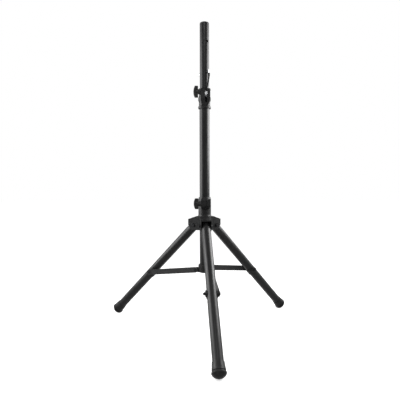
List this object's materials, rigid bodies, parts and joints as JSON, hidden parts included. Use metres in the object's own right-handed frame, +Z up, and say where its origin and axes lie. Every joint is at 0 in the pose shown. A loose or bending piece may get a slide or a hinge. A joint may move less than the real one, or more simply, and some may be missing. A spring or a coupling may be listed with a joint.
{
  "type": "speaker tripod stand",
  "caption": "Folding tripod stand with a telescoping pole, clamped by T-knobs, a sliding hub with pivoted legs and struts, a safety pin and rubber feet.",
  "frame": {"origin": "on the pole's axis at floor level", "axes": "+Z up along the pole, -Y towards the front leg and the clamp ears, -X towards the clamp knobs"},
  "size_m": [0.7446, 0.6511, 1.147],
  "materials": {
    "coated_steel": "satin powder coat",
    "black_plastic": "moulded satin",
    "knob_plastic": "moulded satin",
    "cap_plastic": "moulded satin",
    "liner_plastic": "moulded",
    "foot_rubber": "matte",
    "bright_steel": "zinc plated",
    "dark_fastener": "black oxide",
    "cord_jacket": "braided"
  },
  "bodies": {
    "column": {"outer_tube": "coated_steel", "tube_bottom_plug": "cap_plastic", "base_collar": "black_plastic", "base_pivot_rivets": "dark_fastener", "upper_collar": "black_plastic", "upper_clamp_liner": "liner_plastic", "upper_clamp_nut": "dark_fastener", "lanyard_crimp": "cord_jacket", "lanyard": "cord_jacket", "lanyard_ring": "bright_steel"},
    "pole": {"inner_pole": "coated_steel", "pole_cap": "cap_plastic", "pole_guide": "cap_plastic"},
    "pin": {"safety_pin": "bright_steel"},
    "upper_handle": {"upper_knob": "knob_plastic", "upper_knob_stud": "bright_steel"},
    "hub": {"hub_sleeve": "black_plastic", "hub_liner": "liner_plastic", "hub_spider": "black_plastic", "lower_clamp_nut": "dark_fastener", "leg_pivot_bolts": "dark_fastener", "leg_pivot_nuts": "dark_fastener"},
    "lower_handle": {"lower_knob": "knob_plastic", "lower_knob_stud": "dark_fastener"},
    "leg_front": {"leg_front": "coated_steel", "leg_plug_front": "cap_plastic", "leg_bracket_front": "black_plastic", "leg_bolt_front": "dark_fastener", "foot_front": "foot_rubber"},
    "strut_front": {"strut_front": "coated_steel", "strut_screw_front": "dark_fastener"},
    "leg_right": {"leg_right": "coated_steel", "leg_plug_right": "cap_plastic", "leg_bracket_right": "black_plastic", "leg_bolt_right": "dark_fastener", "foot_right": "foot_rubber"},
    "strut_right": {"strut_right": "coated_steel", "strut_screw_right": "dark_fastener"},
    "leg_left": {"leg_left": "coated_steel", "leg_plug_left": "cap_plastic", "leg_bracket_left": "black_plastic", "leg_bolt_left": "dark_fastener", "foot_left": "foot_rubber"},
    "strut_left": {"strut_left": "coated_steel", "strut_screw_left": "dark_fastener"}
  },
  "joints": [
    {"name": "pole_slide", "type": "slide", "parent": "column", "child": "pole", "axis": [0, 0, 1], "range_m": [0, 0.5]},
    {"name": "pin_pull", "type": "slide", "parent": "pole", "child": "pin", "axis": [0.5446, -0.8387, 0], "range_m": [0, 0.07]},
    {"name": "upper_knob_turn", "type": "hinge", "parent": "column", "child": "upper_handle", "pos_m": [-0.0235, -0.031, 0.884], "axis": [-1, 0, 0], "range_deg": [0, 720]},
    {"name": "hub_slide", "type": "slide", "parent": "column", "child": "hub", "axis": [0, 0, 1], "range_m": [0, 0.3105]},
    {"name": "lower_knob_turn", "type": "hinge", "parent": "hub", "child": "lower_handle", "pos_m": [-0.0235, -0.031, 0.473], "axis": [-1, 0, 0], "range_deg": [0, 720]},
    {"name": "leg_front_pivot", "type": "hinge", "parent": "hub", "child": "leg_front", "pos_m": [0, -0.041, 0.38973], "axis": [1, 0, 0], "range_deg": [0, 39.6]},
    {"name": "strut_front_pivot", "type": "hinge", "parent": "column", "child": "strut_front", "pos_m": [0, -0.03, 0.221], "axis": [-1, 0, 0], "range_deg": [0, 88.05]},
    {"name": "leg_right_pivot", "type": "hinge", "parent": "hub", "child": "leg_right", "pos_m": [0.03551, 0.0205, 0.38973], "axis": [-0.5, 0.866, 0], "range_deg": [0, 39.6]},
    {"name": "strut_right_pivot", "type": "hinge", "parent": "column", "child": "strut_right", "pos_m": [0.02598, 0.015, 0.221], "axis": [0.5, -0.866, 0], "range_deg": [0, 88.05]},
    {"name": "leg_left_pivot", "type": "hinge", "parent": "hub", "child": "leg_left", "pos_m": [-0.03551, 0.0205, 0.38973], "axis": [-0.5, -0.866, 0], "range_deg": [0, 39.6]},
    {"name": "strut_left_pivot", "type": "hinge", "parent": "column", "child": "strut_left", "pos_m": [-0.02598, 0.015, 0.221], "axis": [0.5, 0.866, 0], "range_deg": [0, 88.05]}
  ],
  "couplings": [
    {"joint": "leg_front_pivot", "follows": "hub_slide", "rad_per_m": 2.2254},
    {"joint": "strut_front_pivot", "follows": "hub_slide", "rad_per_m": 4.9482},
    {"joint": "leg_right_pivot", "follows": "hub_slide", "rad_per_m": 2.2254},
    {"joint": "strut_right_pivot", "follows": "hub_slide", "rad_per_m": 4.9482},
    {"joint": "leg_left_pivot", "follows": "hub_slide", "rad_per_m": 2.2254},
    {"joint": "strut_left_pivot", "follows": "hub_slide", "rad_per_m": 4.9482}
  ]
}
